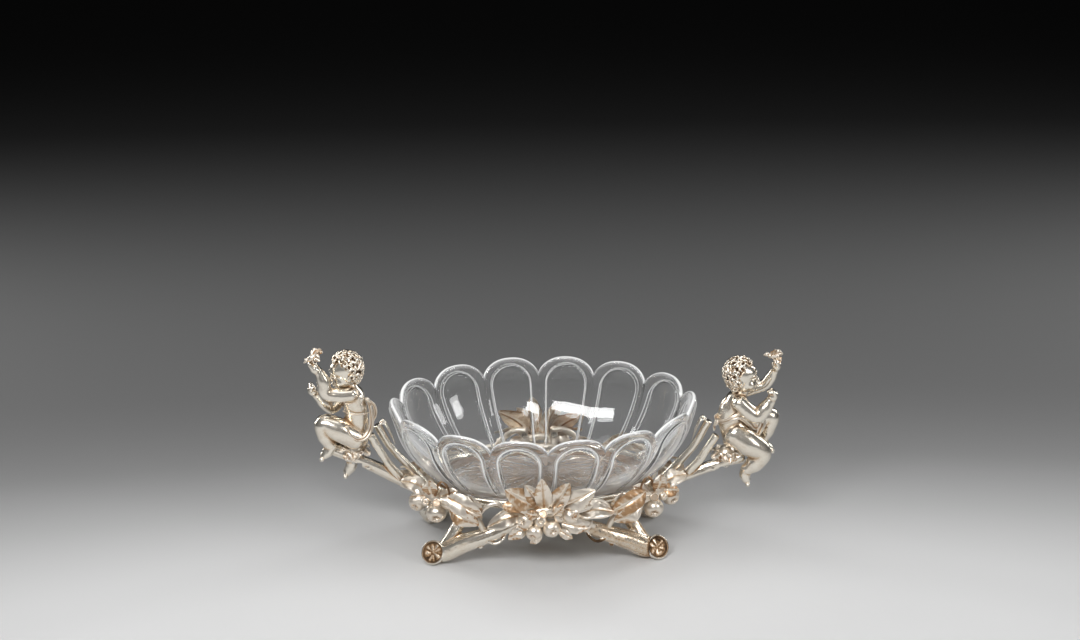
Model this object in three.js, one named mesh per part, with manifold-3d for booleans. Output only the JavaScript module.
// Table centerpiece: an oval moulded-glass bowl of fourteen petals, loose in an oval tray.
// The tray stands on four forked branch legs and carries two branch handles, each with a seated
// cherub holding a bird. Sprays of leaves and fruit hide the joints at the front, rear and ends.
// Millimetres. X runs along the bowl, Y from front to rear, Z up. The origin is on the table,
// under the middle of the bowl.
import * as THREE from 'three';
import { mergeVertices } from 'three/addons/utils/BufferGeometryUtils.js';
import Module from 'manifold-3d';

const wasm = await Module();
wasm.setup();

// Driving sizes of the glass bowl
const bowlLength = 302;
const bowlWidth = 196;
const bowlHeight = 95.7;
const glassWall = 5;
const glassFloor = 5;
const petals = 14;
const petalSpread = 1.1; // over 1, petals are wider along the sides than round the ends
const petalDepth = 4; // how far the grooves between petals lie inside their crowns, at the rim
const notchDrop = 16; // from a petal tip down to the notch beside it
const wallCurve = 2.2; // higher is fuller near the foot
const footBevel = 6;
const footRing = 7; // width of the ring that the glass stands on
const footRecess = 4;

// Driving sizes of the tray
const trayLength = 216;
const trayWidth = 108;
const trayFloorTop = 60; // above the table
const trayRim = 9; // height of the rim over the tray's floor
const trayFloor = 3;
const trayWall = 3;
const trayBead = 1.2;
const footInset = 8.5; // from the tray's edge in to the edge of the glass foot

// Fits and fasteners
const seatGap = 0.3; // left wherever one piece is seated on another
const glassGap = 1; // kept between the metal and the glass that lifts out
const holeClearance = 0.3;
const screwShank = 1.5;
const screwHead = 3.2;
const screwHeadHeight = 2;
const slotWidth = 0.8;
const slotDepth = 0.8;
const legScrewDepth = 9;
const sprayScrewDepth = 6;
const boltShank = 2;
const boltHead = 3.8;
const nutRadius = 4.4;
const nutHeight = 3.4;

// Driving sizes of the frame
const footReach = 113; // from the middle of the bowl to a foot's ground pad
const footSpread = 44; // from the centre line to a foot's ground pad
const trunkRadius = 9.6; // of a leg, above its foot
const stubRadius = 11.8; // of the sawn face that a foot ends in
const stubLength = 14;
const longLimbRadius = 5.4; // of a leg's long limb, under the tray
const shortLimbRadius = 5.1;
const tendrilRadius = 1.7;
const handleRadius = 6.4;
const handleFlat = 11; // from the tray's underside down to the seat of a handle's nut
const handleLimbRadius = 4; // of the two limbs that rise from a handle
const leafThickness = 2.6;
const fruitRadius = 8;
const sprayInset = 6; // from the rim of the bowl in to the line that the sprays are placed from

const silver = { color: 0xd3cabd, metalness: 1, roughness: 0.22 };
const frosted = { color: 0xc9bcaa, metalness: 1, roughness: 0.42 };
const steel = { color: 0xb9b4aa, metalness: 1, roughness: 0.3 };
const glass = { color: 0xe9f0ee, metalness: 0, roughness: 0.03, transparent: true, opacity: 0.35 };

// Places that follow from the sizes. Points of the frame are given from these.
const underside = trayFloorTop - trayFloor;
const trayTop = trayFloorTop + trayRim;
const bowlBottom = trayFloorTop + seatGap;
const sprayLine = bowlWidth / 2 - sprayInset;
const fromMiddle = (x, out, up) => [x, sprayLine + out, underside + up];
const fromTrayEnd = (out, y, up) => [trayLength / 2 + out, y, underside + up];
const fromTrayCorner = (out, aside, up) => [trayLength / 2 + out, trayWidth / 2 + aside, underside + up];
const fromBowlEnd = (out, y, up) => [bowlLength / 2 + out, y, underside + up];
const fromFoot = (out, aside, up) => [footReach + out, footSpread + aside, up];
const footLength = trayLength - 2 * footInset;
const footWidth = trayWidth - 2 * footInset;
const hollowInset = footBevel / 2 + footRing;
// The leg screws stand under the hollow of the glass foot, as near its ring as their heads allow.
const legEnd = (x) => {
  const share = x / (footLength / 2 - hollowInset);
  return [x, (footWidth / 2 - hollowInset) * Math.sqrt(1 - share ** 2) - screwHead - glassGap];
};
const legEndInner = legEnd(16); // where the long limb of a leg meets the tray
const legEndOuter = legEnd(trayLength / 2 - 48); // where the short limb meets it
const handleBoltReach = trayLength / 2 - 28;
const quarters = [[1, 1], [-1, 1], [-1, -1], [1, -1]];
const quarterNames = ['rear_right', 'rear_left', 'front_left', 'front_right'];
const turned = ([sx, sy], [x, y, z]) => [x * sx, y * sy, z];

// Solid modelling helpers
function solid(geometry) {
  const plain = geometry.index ? geometry.toNonIndexed() : geometry.clone();
  plain.deleteAttribute('normal');
  plain.deleteAttribute('uv');
  const merged = mergeVertices(plain, 1e-3);
  return new wasm.Manifold(new wasm.Mesh({
    numProp: 3,
    vertProperties: new Float32Array(merged.attributes.position.array),
    triVerts: new Uint32Array(merged.index.array),
  }));
}

const fuse = (solids) => solids.reduce((sum, next) => sum.add(next));
const cut = (body, tools) => tools.reduce((left, tool) => left.subtract(tool), body);
const largestPiece = (body) => body.decompose().sort((a, b) => b.volume() - a.volume())[0];

function node(name, body, look) {
  const { numProp, numVert, vertProperties, triVerts } = largestPiece(body).getMesh();
  const places = new Float32Array(numVert * 3);
  for (let i = 0; i < numVert; i++) {
    places.set(vertProperties.subarray(i * numProp, i * numProp + 3), i * 3);
  }
  const geometry = new THREE.BufferGeometry();
  geometry.setAttribute('position', new THREE.BufferAttribute(places, 3));
  geometry.setIndex(new THREE.BufferAttribute(new Uint32Array(triVerts), 1));
  geometry.computeVertexNormals();
  const mesh = new THREE.Mesh(geometry, new THREE.MeshStandardMaterial(look));
  mesh.name = name;
  return mesh;
}

const vec = (p) => new THREE.Vector3(...p);
const yAxis = new THREE.Vector3(0, 1, 0);

function valueAt(values, t) {
  const place = t * (values.length - 1);
  const i = Math.min(Math.floor(place), values.length - 2);
  return values[i] + (values[i + 1] - values[i]) * (place - i);
}

// A cylinder bent along a smooth line. Its half-widths, and half-depths along face, are given in
// even steps from end to end. A cup turns both its edges towards face.
function branch(points, widths, { depths = widths, sides = 6, steps = 8, grow = 0, face = [0, 0, 1],
  cup = 0 } = {}) {
  const path = points.map(vec);
  const first = path[0].clone().sub(path[1]).setLength(grow);
  const last = path.at(-1).clone().sub(path.at(-2)).setLength(grow);
  path[0].add(first);
  path.at(-1).add(last);
  const line = new THREE.CatmullRomCurve3(path, false, 'centripetal');
  const frames = [];
  let deep = vec(face);
  for (let i = 0; i <= steps; i++) {
    const tangent = line.getTangent(i / steps);
    deep = deep.clone().addScaledVector(tangent, -tangent.dot(deep)).normalize();
    frames.push({ at: line.getPoint(i / steps), deep, across: tangent.clone().cross(deep) });
  }
  const geometry = new THREE.CylinderGeometry(1, 1, 1, sides, steps);
  const place = geometry.attributes.position;
  for (let i = 0; i < place.count; i++) {
    const t = place.getY(i) + 0.5;
    const frame = frames[Math.round(t * steps)];
    const x = place.getX(i);
    const moved = frame.at.clone()
      .addScaledVector(frame.across, x * (valueAt(widths, t) + grow))
      .addScaledVector(frame.deep, place.getZ(i) * (valueAt(depths, t) + grow) + cup * x * x);
    place.setXYZ(i, moved.x, moved.y, moved.z);
  }
  return solid(geometry);
}

// A pointed leaf with a ridge down its middle, widest past half way and bowed towards its face
function leaf(base, tip, width, { face = [0, -1, 0.3], bow = 3, grow = 0 } = {}) {
  const middle = vec(base).lerp(vec(tip), 0.5).addScaledVector(vec(face).normalize(), bow);
  const widths = [0.22, 0.75, 1, 0.9, 0.55, 0.1].map((share) => share * width / 2);
  const depths = [1.2, 1.1, 1, 0.9, 0.8, 0.5].map((share) => share * leafThickness / 2);
  return branch([base, middle.toArray(), tip], widths,
    { depths, sides: 4, steps: 4, face, cup: 1.5, grow });
}

function ball(centre, radii, { grow = 0, across = 7, down = 5 } = {}) {
  const [x, y, z] = Array.isArray(radii) ? radii : [radii, radii, radii];
  const geometry = new THREE.SphereGeometry(1, across, down);
  geometry.rotateX(Math.PI / 2);
  geometry.scale(x + grow, y + grow, z + grow);
  geometry.translate(...centre);
  return solid(geometry);
}

function box(low, high) {
  const geometry = new THREE.BoxGeometry(high[0] - low[0], high[1] - low[1], high[2] - low[2]);
  geometry.translate((low[0] + high[0]) / 2, (low[1] + high[1]) / 2, (low[2] + high[2]) / 2);
  return solid(geometry);
}

function pin(from, to, radius, sides = 8) {
  const axis = vec(to).sub(vec(from));
  const geometry = new THREE.CylinderGeometry(radius, radius, axis.length(), sides);
  geometry.applyQuaternion(new THREE.Quaternion().setFromUnitVectors(yAxis, axis.normalize()));
  geometry.translate(...vec(from).lerp(vec(to), 0.5).toArray());
  return solid(geometry);
}

// A slotted screw along an axis: its head stands on the seat and its shank goes the other way.
function screw(seat, axis, depth) {
  const toward = vec(axis).normalize();
  const at = (distance) => vec(seat).addScaledVector(toward, distance).toArray();
  const slot = new THREE.BoxGeometry(screwHead * 3, slotDepth * 2, slotWidth);
  slot.applyQuaternion(new THREE.Quaternion().setFromUnitVectors(yAxis, toward));
  slot.translate(...at(screwHeadHeight));
  const head = pin(at(0), at(screwHeadHeight), screwHead);
  return head.add(pin(at(-depth), at(screwHeadHeight / 4), screwShank)).subtract(solid(slot));
}

// Turns a lathe's rings into ovals. A profile point is [share of the oval, offset, height], or a
// function of the angle's number that gives those three.
function ovalLathe(profile, length, width, angles) {
  const stand = profile.map((_, i) => new THREE.Vector2(1, i));
  const geometry = new THREE.LatheGeometry(stand, angles.length);
  const place = geometry.attributes.position;
  for (let i = 0; i < place.count; i++) {
    const turn = Math.floor(i / profile.length) % angles.length;
    const point = profile[i % profile.length];
    const [share, offset, height] = typeof point === 'function' ? point(turn) : point;
    place.setXYZ(i, Math.cos(angles[turn]) * (share * length / 2 + offset),
      Math.sin(angles[turn]) * (share * width / 2 + offset), height);
  }
  return solid(geometry);
}

// Angles that walk round an oval in equal steps of its rim, starting at one end.
function evenAngles(count, length, width) {
  const fine = 4000;
  const sums = [0];
  for (let i = 0; i < fine; i++) {
    const angle = (i + 0.5) / fine * 2 * Math.PI;
    sums.push(sums[i] + Math.hypot(Math.sin(angle) * length, Math.cos(angle) * width));
  }
  return Array.from({ length: count }, (_, k) => {
    const wanted = sums[fine] * k / count;
    return sums.findIndex((sum) => sum >= wanted) / fine * 2 * Math.PI;
  });
}

// The glass bowl: each petal has its crown in the middle and a groove and a notch at each side
const stepsPerPetal = 4;
const bowlAngles = evenAngles(petals * stepsPerPetal, bowlLength, bowlWidth * petalSpread);
const wallHeight = bowlHeight - footBevel;

function offCrown(turn) {
  const half = stepsPerPetal / 2;
  return Math.abs((turn + half) % stepsPerPetal - half) / half;
}

function bowl(grow = 0) {
  const flareLength = (bowlLength - footLength) / 2;
  const flareWidth = (bowlWidth - footWidth) / 2;
  // A point of the wall, by its share of the way up to the rim
  const wall = (share, inset, lift) => (turn) => {
    const rimHeight = wallHeight - notchDrop * (1 - (1 - offCrown(turn) ** 2.4) ** 0.7);
    const up = share * rimHeight;
    const rise = Math.max(up - lift, 0) / wallHeight;
    const flare = 1 - (1 - rise) ** wallCurve;
    const groove = petalDepth * offCrown(turn) ** 2 * share ** 0.7;
    const reach = Math.hypot(Math.cos(bowlAngles[turn]) * flareWidth,
      Math.sin(bowlAngles[turn]) * flareLength);
    const offset = flare * flareLength * flareWidth / reach - groove - inset + grow;
    return [1, offset, bowlBottom + footBevel + up];
  };
  const outside = [0, 0.1, 0.24, 0.45, 0.7, 1].map((share) => wall(share, 0, 0));
  const inside = [0.985, 0.7, 0.45, 0.24, 0.11].map((share) => wall(share, glassWall, glassFloor));
  const floorTop = bowlBottom + footRecess + glassFloor;
  const recessTop = bowlBottom + footRecess - grow;
  const footEdge = -footBevel / 2;
  return ovalLathe([
    [0, 0, recessTop],
    [1, -hollowInset - grow, recessTop],
    [1, -hollowInset - grow, bowlBottom - grow],
    [1, footEdge + grow, bowlBottom - grow],
    ...outside,
    ...inside,
    [0.8, 0, floorTop],
    [0, 0, floorTop],
  ], footLength, footWidth, bowlAngles);
}

// The tray, with a hole for each screw and bolt
const trayAngles = evenAngles(40, trayLength, trayWidth);
const legScrewPlaces = quarters.flatMap((q) => [legEndInner, legEndOuter]
  .map(([x, y]) => turned(q, [x, y, 0])));

function trayBlank(grow = 0) {
  return ovalLathe([
    [0, 0, underside - grow],
    [1, -8, underside - grow],
    [1, -1 + grow, underside + 4],
    [1, trayBead + grow, trayTop - 1.6],
    [1, grow, trayTop + grow],
    [1, trayBead - trayWall - grow, trayTop + grow],
    [1, -trayWall - 1 - grow, trayFloorTop + 2 + grow],
    [1, -trayWall - 5 - grow, trayFloorTop + grow],
    [0, 0, trayFloorTop + grow],
  ], trayLength, trayWidth, trayAngles);
}

function tray() {
  const hole = ([x, y], shank) => pin([x, y, underside - 5], [x, y, trayFloorTop + 5],
    shank + holeClearance);
  return cut(trayBlank(), [
    ...legScrewPlaces.map((place) => hole(place, screwShank)),
    hole([-handleBoltReach, 0], boltShank),
    hole([handleBoltReach, 0], boltShank),
  ]);
}

// Legs: a trunk that ends in a stub with a sawn face, forked into a long limb and a short one
const sawnFace = fromFoot(-3.5, 4, 10.7);
const sawnFacing = vec([0.4, 0.75, 0.53]).normalize();
const behindFace = (distance) => vec(sawnFace).addScaledVector(sawnFacing, -distance).toArray();
const sawnAway = (q) => pin(turned(q, sawnFace), turned(q, behindFace(-stubLength)), stubRadius, 16);
const everything = [1000, 1000, 1000];
const belowTable = box(everything.map((v) => -v), [everything[0], everything[1], 0]);

function leg(q, grow = 0) {
  const limb = (points, widths, options) => branch(points.map((p) => turned(q, p)), widths,
    { grow, ...options });
  const [ix, iy] = legEndInner;
  const [ox, oy] = legEndOuter;
  const mid = (trunkRadius + longLimbRadius) / 2;
  return fuse([
    limb([behindFace(stubLength), behindFace(stubLength / 2), sawnFace],
      [stubRadius - 3.3, stubRadius - 1, stubRadius], { sides: 12, steps: 2 }),
    limb([
      fromFoot(-4, -3, 8.5), fromFoot(-14, 1, 12.5), fromFoot(-33, 7, 24),
      fromMiddle(56, -35, -21), fromMiddle(34, -37, -12), [ix + 3, iy + 12, underside - 8],
      [ix, iy, underside + 3],
    ], [trunkRadius - 2, trunkRadius, mid + 0.8, mid - 0.2, longLimbRadius + 0.8, longLimbRadius,
      longLimbRadius], { sides: 8, steps: 8 }),
    limb([
      fromFoot(-12, 0, 12), fromFoot(-22, -3, 28), fromFoot(-32, -8, 43),
      [ox + 9, oy + 7, underside - 6], [ox, oy, underside + 3],
    ], [shortLimbRadius + 1.9, shortLimbRadius + 1, shortLimbRadius + 0.6, shortLimbRadius,
      shortLimbRadius], { sides: 7, steps: 5 }),
    limb([fromMiddle(66, -38, -26), fromMiddle(64, -32, -33)], [3.2, 2.4], { steps: 1 }),
    limb([
      fromMiddle(60, -34, -19), fromMiddle(58, -29, -24), fromMiddle(50, -27, -27),
      fromMiddle(42, -28, -22), fromMiddle(38, -32, -14),
    ], [tendrilRadius, tendrilRadius], { sides: 5, steps: 7, face: [0, 1, 0] }),
  ]);
}

function finishedLeg(q) {
  const top = underside - seatGap;
  const holes = [legEndInner, legEndOuter].map(([x, y]) => pin(
    turned(q, [x, y, trayFloorTop - legScrewDepth - 1]), turned(q, [x, y, trayFloorTop]),
    screwShank + holeClearance));
  const aboveTray = box([-everything[0], -everything[1], top], everything);
  return cut(leg(q), [belowTable, sawnAway(q), aboveTray, ...holes]);
}

// Handles: a stout branch with two rising limbs. The left one is set a little higher.
const handleRoot = [[handleBoltReach - 12, 0, underside - 7], [handleBoltReach + 10, 0, underside - 7]];
const handles = {
  left: {
    side: -1,
    stem: [...handleRoot, fromTrayEnd(6, 0, 0), fromTrayEnd(32, 0, 13), fromBowlEnd(14, 0, 27),
      fromBowlEnd(37, 0, 39), fromBowlEnd(56, 0, 48)],
    front: [fromTrayEnd(34, -2, 17), fromBowlEnd(2, -4, 33), fromBowlEnd(11, -5, 50),
      fromBowlEnd(19, -5, 65)],
    rear: [fromTrayEnd(8, 5, 5), fromTrayEnd(25, 6, 25), fromBowlEnd(0, 6, 47), fromBowlEnd(12, 5, 71)],
    blade: [fromBowlEnd(11, 5, 71), fromBowlEnd(6, 5, 75), fromBowlEnd(1, 5, 67), fromBowlEnd(-5, 5, 51)],
    seat: fromBowlEnd(35, 0, 42),
  },
  right: {
    side: 1,
    stem: [...handleRoot, fromTrayEnd(6, 0, -1), fromTrayEnd(30, 0, 9), fromBowlEnd(11, 0, 18),
      fromBowlEnd(31, 0, 25), fromBowlEnd(46, 0, 29)],
    front: [fromTrayEnd(36, -2, 15), fromBowlEnd(4, -4, 29), fromBowlEnd(12, -5, 43),
      fromBowlEnd(20, -5, 56)],
    rear: [fromTrayEnd(10, 5, 3), fromTrayEnd(27, 6, 21), fromBowlEnd(0, 6, 41), fromBowlEnd(13, 5, 67)],
    blade: [fromBowlEnd(12, 5, 67), fromBowlEnd(7, 5, 71), fromBowlEnd(2, 5, 63), fromBowlEnd(-3, 5, 47)],
    seat: fromBowlEnd(31, 0, 29),
  },
};
const onSide = (handle, points) => points.map(([x, y, z]) => [x * handle.side, y, z]);

function handleBranch(handle, grow = 0) {
  const options = { grow, face: [0, 1, 0] };
  const stem = [-0.4, 0, 0.2, -0.2, -0.8, -1.2, -0.8].map((more) => handleRadius + more);
  const limb = [0.6, 0.1, -0.2, 0.1].map((more) => handleLimbRadius + more);
  return fuse([
    branch(onSide(handle, handle.stem), stem, { ...options, sides: 8, steps: 9 }),
    branch(onSide(handle, handle.front), limb, { ...options, steps: 4 }),
    branch(onSide(handle, handle.rear), limb, { ...options, steps: 5 }),
  ]);
}

function finishedHandle(handle) {
  const x = handleBoltReach * handle.side;
  const seat = underside - handleFlat;
  const f = figures[handle.side < 0 ? 'left' : 'right'];
  const screwX = figureX(f);
  const filed = screwSeat(f);
  return cut(handleBranch(handle), [
    trayBlank(seatGap),
    box([x - 9, -10, seat - 20], [x + 9, 10, seat]),
    pin([x, 0, seat - 10], [x, 0, trayFloorTop], boltShank + holeClearance),
    box([screwX - 7, -7, filed - 12], [screwX + 7, 7, filed]),
    screwHole(f),
  ]);
}

function handleBolt(x) {
  const bottom = trayFloorTop + seatGap;
  const head = pin([x, 0, bottom], [x, 0, bottom + screwHeadHeight], boltHead);
  const slotFloor = bottom + screwHeadHeight - slotDepth;
  const slot = box([x - boltHead * 2, -slotWidth / 2, slotFloor],
    [x + boltHead * 2, slotWidth / 2, slotFloor + 5]);
  const end = underside - handleFlat - seatGap - nutHeight - 2;
  return head.add(pin([x, 0, end], [x, 0, bottom + 0.5], boltShank)).subtract(slot);
}

function handleNut(x) {
  const top = underside - handleFlat - seatGap;
  const bottom = top - nutHeight;
  return pin([x, 0, bottom], [x, 0, top], nutRadius, 6)
    .subtract(pin([x, 0, bottom - 5], [x, 0, top + 5], boltShank + holeClearance));
}

// The long curled blade of leaf that falls from a handle's rear limb
function handleBlade(handle) {
  const blade = branch(onSide(handle, handle.blade), [2.2, 4.2, 4.6, 0.9],
    { depths: [1.4, 1.2, 1.1, 0.8], steps: 8, face: [0.4 * handle.side, 0, 1], cup: 1.2 });
  return cut(blade, [handleBranch(handle, seatGap), bowl(glassGap)]);
}

// Centre sprays, front and rear: a twig with fruit, and the leaves above and beside it
const sprayScrewX = 15;
const sprayFlat = sprayLine - 20.8; // the seat of the two screws that hold the leaves
const sprayScrewZ = underside + 22;

function sprayBranch(sy, grow = 0) {
  const at = (x, out, up) => turned([1, sy], fromMiddle(x, out, up));
  const twig = (points, radii, steps) => branch(points, radii, { steps, grow });
  const fruit = (centre, more = 0) => ball(centre, fruitRadius + more, { grow });
  const horns = [-1, 1].map((sx) => twig([at(sx * 13, -22, 3), at(sx * 15, -17, 15),
    at(sx * 15, -17, 28)], [4, 4.2, 4], 3));
  return fuse([
    twig([at(-46, -30, -11), at(-22, -23, 3), at(0, -21, 7), at(22, -22, 4), at(46, -30, -11)],
      [3, 4, 4.6, 4, 3], 6),
    ...horns,
    twig([at(-2, -16, 7), at(0, -8, 8), at(1, 1, 10)], [3.4, 3.4, 3.6], 2),
    fruit(at(-8, -11, 4)), fruit(at(27, -14, 3), -0.5), fruit(at(7, -10, -9), 0.5),
    fruit(at(-11, -13, -13)), fruit(at(18, -15, -10), -1.5), fruit(at(-23, -17, -4), -2.5),
    fruit(at(11, -12, 11), -3),
  ]);
}

function sprayLeaves(sy, grow = 0) {
  const at = (x, out, up) => turned([1, sy], fromMiddle(x, out, up));
  const outward = turned([1, sy], [0, 1, 0.3]);
  const upward = turned([1, sy], [0, 0.7, 1]);
  const blade = (base, tip, width, face = outward) => leaf(base, tip, width, { face, grow });
  return fuse([
    branch([at(-16, -14, 14), at(0, -13, 16), at(16, -14, 14)], [3.2, 4.4, 3.2],
      { steps: 4, grow, face: [0, 1, 0] }),
    blade(at(0, -14, 12), at(-6, -4, 56), 15),
    blade(at(-7, -15, 13), at(-36, -8, 40), 16),
    blade(at(-6, -15, 17), at(-21, -6, 49), 13),
    blade(at(7, -15, 13), at(28, -5, 47), 15),
    blade(at(9, -15, 11), at(50, -12, 35), 16),
    blade(at(-9, -16, 11), at(-47, -21, -6), 14, upward),
    blade(at(9, -16, 13), at(64, -25, 1), 14, upward),
  ]);
}

function finishedSprayBranch(sy) {
  const y = sprayFlat * sy;
  const holes = [-sprayScrewX, sprayScrewX].map((x) => pin([x, y - 9 * sy, sprayScrewZ],
    [x, y + (sprayScrewDepth + 1) * sy, sprayScrewZ], screwShank + holeClearance));
  const inner = (sprayFlat - 20) * sy;
  const screwSeats = box([-30, Math.min(inner, y), sprayScrewZ - 4], [30, Math.max(inner, y), sprayScrewZ + 12]);
  return cut(sprayBranch(sy), [leg([1, sy], seatGap), leg([-1, sy], seatGap), trayBlank(seatGap),
    bowl(glassGap), ...holes, screwSeats]);
}

function finishedSprayLeaves(sy) {
  return cut(sprayLeaves(sy), [sprayBranch(sy, seatGap), leg([1, sy], seatGap), leg([-1, sy], seatGap),
    bowl(glassGap)]);
}

const sprayScrew = (sx, sy) => screw([sprayScrewX * sx, (sprayFlat - seatGap) * sy, sprayScrewZ],
  [0, -sy, 0], sprayScrewDepth);

// End sprays, one at each quarter: a twig with two fruits, cut stubs and a leaf, and more leaves
// that stand on the leg below
function endTwig(q, grow = 0) {
  const at = (out, aside, up) => turned(q, fromTrayCorner(out, aside, up));
  const twig = (points, radii, steps) => branch(points, radii, { steps, grow });
  return fuse([
    twig([at(-44, 1, -4), at(-24, -4, 3), at(-4, -16, 7), at(14, -34, 9), at(23, -48, 9)],
      [2.4, 3, 3.6, 3.8, 3.4], 6),
    twig([at(-4, -16, 6), at(-2, -8, 10), at(-1, -2, 13)], [3.4, 3.8, 4.2], 2),
    twig([at(12, -32, 9), at(22, -38, 11), at(32, -42, 14)], [3.4, 3, 3.2], 2),
    twig([at(2, -20, 7), at(3, -24, 13), at(4, -27, 18)], [3, 4, 4.4], 2),
    ball(at(17, -31, -1), fruitRadius + 1, { grow }),
    ball(at(-1, -15, -5), fruitRadius + 2, { grow }),
    ball(at(-11, -11, 9), [7, 4.5, 4.5], { grow }),
    leaf(at(9, -34, 11), at(32, -40, 22), 13, { face: turned(q, [0.2, 0.8, 1]), bow: 4, grow }),
  ]);
}

function endLeaves(q, grow = 0) {
  const at = (x, out, up) => turned(q, fromMiddle(x, out, up));
  const blade = (base, tip, width, face) => leaf(base, tip, width, { face: turned(q, face), grow });
  return fuse([
    branch([at(60, -35, -20), at(62, -33, -10), at(68, -34, -2)], [2.6, 3, 2.4],
      { steps: 3, grow, face: [0, 1, 0] }),
    blade(at(64, -34, -5), at(91, -33, 21), 19, [0.2, 1, 0.5]),
    blade(at(63, -33, -8), at(94, -32, 1), 18, [0, 1, 0.1]),
    blade(at(66, -35, -3), at(73, -31, 25), 13, [-0.2, 1, 0.3]),
  ]);
}

function finishedEndTwig(q) {
  return cut(endTwig(q), [trayBlank(seatGap), leg(q, seatGap), handleBranch(handles.left, seatGap),
    handleBranch(handles.right, seatGap), bowl(glassGap)]);
}

function finishedEndLeaves(q) {
  return cut(endLeaves(q), [endTwig(q, seatGap), leg(q, seatGap), trayBlank(seatGap),
    sprayBranch(q[1], seatGap), sprayLeaves(q[1], seatGap), bowl(glassGap)]);
}

// Seated figures. Joints are [out, aside, up] from the seat on the handle's branch.
const figures = {
  left: {
    handle: handles.left,
    filed: 7.5, // from the seat down to the flat for the screw's head
    screwDepth: 28,
    spine: [[-2, 0, 20], [-3, 0, 34], [-2.5, 0, 51], [0, 0, 65], [3, 0, 77]],
    hair: [3, 0, 94.5],
    face: [14, 0, 88],
    nearArm: [[2, -10, 70], [15, -13, 71], [27, -14, 75], [29, -13, 88], [34, -12, 100], [39, -11, 105]],
    farArm: [[4, 10, 65], [14, 13, 53], [21, 14, 45], [28, 12, 51], [34, 10, 59], [39, 8, 66]],
    nearLeg: [[-2, -7, 21], [16, -10, 33], [29, -10, 39], [29, -10, 25.5], [26, -10, 13]],
    nearFoot: [[25, -10, 12], [28, -10, 6], [31, -10, 2]],
    farLeg: [[-1, 7, 17], [11, 12, 17], [20, 14, 13], [12, 14, -1], [2.5, 14, -14]],
    farFoot: [[2, 14, -14], [4, 14, -23], [8, 14, -30]],
    sash: [
      [[-5, -9, 71], [-13, -8, 59], [-16, -7, 46], [-15, -8, 33], [-12, -11, 21], [-2, -15, 15],
        [9, -14, 21]],
      [[-14, 0, 53], [-20, -2, 49], [-21, -2, 39], [-16, -2, 33]],
    ],
    bird: [[31, -9, 118], [36, -9, 112], [42, -9, 109], [49.4, -9, 109]],
    wings: [[31, -18, 116], [33, 0, 117]],
    perch: [[39, -10, 110], [39, -11, 105]],
  },
  right: {
    handle: handles.right,
    filed: 8,
    screwDepth: 30,
    spine: [[5, 0, 23], [1, 0, 36], [3, 0, 51], [9, 0, 63], [15, 0, 74]],
    hair: [8.5, 0, 92],
    face: [21, 0, 86],
    nearArm: [[10, -10, 64], [19, -13, 56], [29, -14, 51], [36, -13, 60], [41, -12, 69], [44, -11, 76]],
    farArm: [[14, 10, 65], [26, 12, 66], [37, 12, 70], [43, 11, 80], [47, 10, 89], [49, 8, 94]],
    nearLeg: [[5, -7, 28], [22, -10, 18], [37, -10, 9], [28, -10, -3], [19, -10, -13]],
    nearFoot: [[18.5, -10, -13], [17.5, -10, -20], [20, -10, -26]],
    farLeg: [[6, 7, 26], [28, 9, 36], [46, 9, 40], [43, 9, 26], [38, 10, 13]],
    farFoot: [[38, 10, 13], [41, 10, 7], [46, 10, 4]],
    sash: [
      [[-11, -8, 38], [-4, -12, 45], [6, -13, 48], [16, -11, 44], [24, -3, 36], [31, 4, 45], [42, 6, 51]],
      [[-11, 4, 42], [-14, 0, 40], [-11, -8, 38]],
    ],
    bird: [[37, 8, 101], [42, 8, 104], [47, 8, 106], [52, 8, 105]],
    wings: [[41, -3, 113], [41, 19, 113]],
    perch: [[46, 8, 105], [50, 8, 96]],
  },
};
const figureX = (f) => f.handle.seat[0] * f.handle.side;
const screwSeat = (f) => f.handle.seat[2] - f.filed;
const seated = (f, [out, aside, up]) => [
  (f.handle.seat[0] + out) * f.handle.side, f.handle.seat[1] + aside, f.handle.seat[2] + up];

function figure(f, grow = 0) {
  const limb = (points, radii, options) => branch(points.map((p) => seated(f, p)), radii,
    { grow, face: [0, 1, 0], ...options });
  const arm = (points) => limb(points, [5.6, 5.4, 4.8, 4.8, 3.6, 3.1], { steps: 5 });
  const hand = (points) => ball(seated(f, points.at(-1)), [4.4, 3.8, 4.8], { grow });
  const thighAndCalf = (points) => limb(points, [9.8, 9.6, 7.6, 6.4, 4.4], { sides: 7, steps: 6 });
  const foot = (points) => limb(points, [4.2, 4.2, 3], { steps: 2 });
  return fuse([
    limb(f.spine, [10.5, 9.6, 9.8, 8.2, 4.8], { depths: [12, 10.6, 11.6, 10.6, 5], sides: 9, steps: 6 }),
    ball(seated(f, f.spine[0]), [11, 12.5, 10.5], { grow, across: 9 }),
    ball(seated(f, f.hair), [16.8, 15.4, 18], { grow, across: 9, down: 7 }),
    ball(seated(f, f.face), [9, 10.5, 12], { grow, across: 8 }),
    arm(f.nearArm), arm(f.farArm), hand(f.nearArm), hand(f.farArm),
    thighAndCalf(f.nearLeg), thighAndCalf(f.farLeg), foot(f.nearFoot), foot(f.farFoot),
  ]);
}

function screwHole(f) {
  const x = figureX(f);
  const seat = screwSeat(f);
  return pin([x, 0, seat - 9], [x, 0, seat + f.screwDepth + 1], screwShank + holeClearance);
}

// The ruffled tuft of leaves between a figure and its branch
function tuft(f, grow = 0) {
  const tips = [[18, -4, 6], [-15, -9, 4], [-15, 8, 4], [2, -15, 1], [3, 15, 1]];
  const blades = tips.map(([x, y, z]) => leaf(seated(f, [x * 0.2, y * 0.2, 5]), seated(f, [x, y, z]), 12,
    { face: [x * 0.2 * f.handle.side, y * 0.2, 6], grow }));
  return fuse([ball(seated(f, [0, 0, 4]), [9, 9, 9], { grow }), ...blades]);
}

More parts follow.
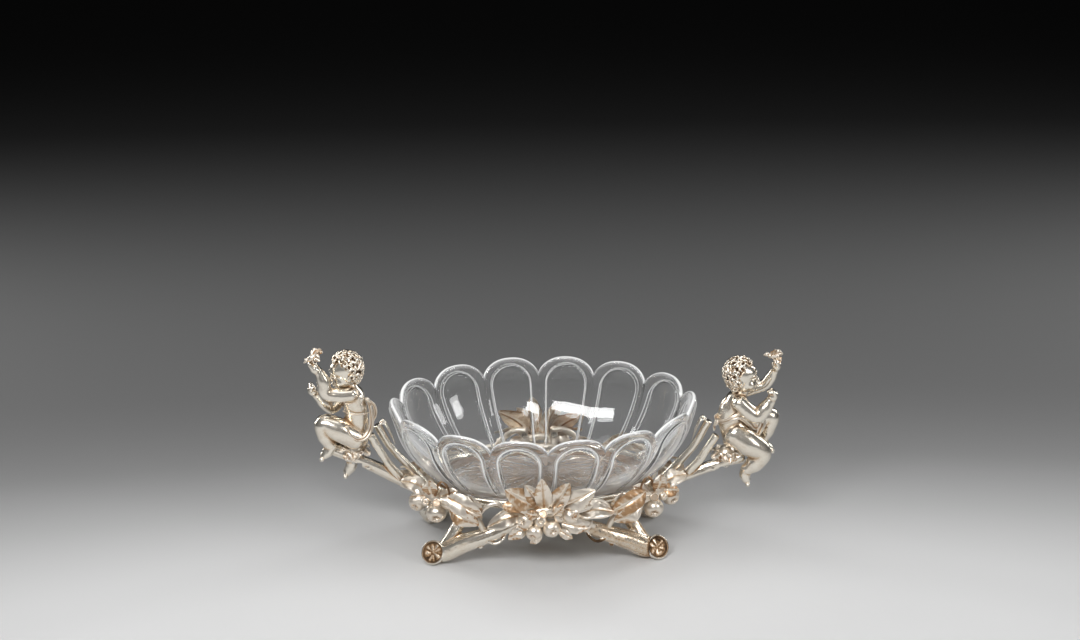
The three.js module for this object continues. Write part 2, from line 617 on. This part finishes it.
function sash(f, grow = 0) {
  return fuse(f.sash.map((line) => branch(line.map((p) => seated(f, p)), [2.6, 3.2, 3.4, 3.2, 3],
    { depths: [3, 3.6, 3.8, 3.6, 3], steps: line.length * 2 - 2, grow, face: [0, 1, 0] })));
}

function bird(f) {
  const at = (p) => seated(f, p);
  const back = vec(f.bird[1]).lerp(vec(f.bird[2]), 0.5).toArray();
  return fuse([
    branch(f.bird.map(at), [1.2, 2.2, 3.2, 2.6, 0.9], { steps: 6, face: [0, 1, 0] }),
    ...f.wings.map((tip) => leaf(at(back), at(tip), 7, { face: [0, 0, 1], bow: 1.5 })),
    branch(f.perch.map(at), [1.4, 1.2], { steps: 1 }),
  ]);
}

const finishedFigure = (f) => cut(figure(f), [handleBranch(f.handle, seatGap), screwHole(f)]);
const finishedTuft = (f) => cut(tuft(f),
  [figure(f, seatGap), handleBranch(f.handle, seatGap), screwHole(f)]);
const finishedSash = (f) => cut(sash(f),
  [figure(f, seatGap), tuft(f, seatGap), handleBranch(f.handle, seatGap)]);
const finishedBird = (f) => cut(bird(f), [figure(f, seatGap)]);
const figureScrew = (f) => screw([figureX(f), 0, screwSeat(f) - seatGap], [0, 0, -1], f.screwDepth);

const centerpiece = new THREE.Group();
centerpiece.name = 'table_centerpiece';
const add = (name, body, look) => centerpiece.add(node(name, body, look));

add('glass_bowl', bowl(), glass);
add('tray', tray(), silver);
quarters.forEach((q, i) => {
  add(`${quarterNames[i]}_leg`, finishedLeg(q), silver);
  add(`${quarterNames[i]}_fruit_twig`, finishedEndTwig(q), frosted);
  add(`${quarterNames[i]}_leaves`, finishedEndLeaves(q), frosted);
});
legScrewPlaces.forEach(([x, y], i) => {
  const which = i % 2 ? 'outer' : 'inner';
  const name = `${quarterNames[Math.floor(i / 2)]}_leg_${which}_screw`;
  add(name, screw([x, y, trayFloorTop + seatGap], [0, 0, 1], legScrewDepth), steel);
});
for (const [name, sy] of [['front', -1], ['rear', 1]]) {
  add(`${name}_spray_branch`, finishedSprayBranch(sy), frosted);
  add(`${name}_spray_leaves`, finishedSprayLeaves(sy), frosted);
  add(`${name}_spray_left_screw`, sprayScrew(-1, sy), steel);
  add(`${name}_spray_right_screw`, sprayScrew(1, sy), steel);
}
for (const [name, f] of Object.entries(figures)) {
  const boltX = handleBoltReach * f.handle.side;
  add(`${name}_handle`, finishedHandle(f.handle), silver);
  add(`${name}_handle_blade`, handleBlade(f.handle), silver);
  add(`${name}_handle_bolt`, handleBolt(boltX), steel);
  add(`${name}_handle_nut`, handleNut(boltX), steel);
  add(`${name}_seat_tuft`, finishedTuft(f), frosted);
  add(`${name}_cherub`, finishedFigure(f), silver);
  add(`${name}_sash`, finishedSash(f), frosted);
  add(`${name}_bird`, finishedBird(f), frosted);
  add(`${name}_cherub_screw`, figureScrew(f), steel);
}

export default centerpiece;
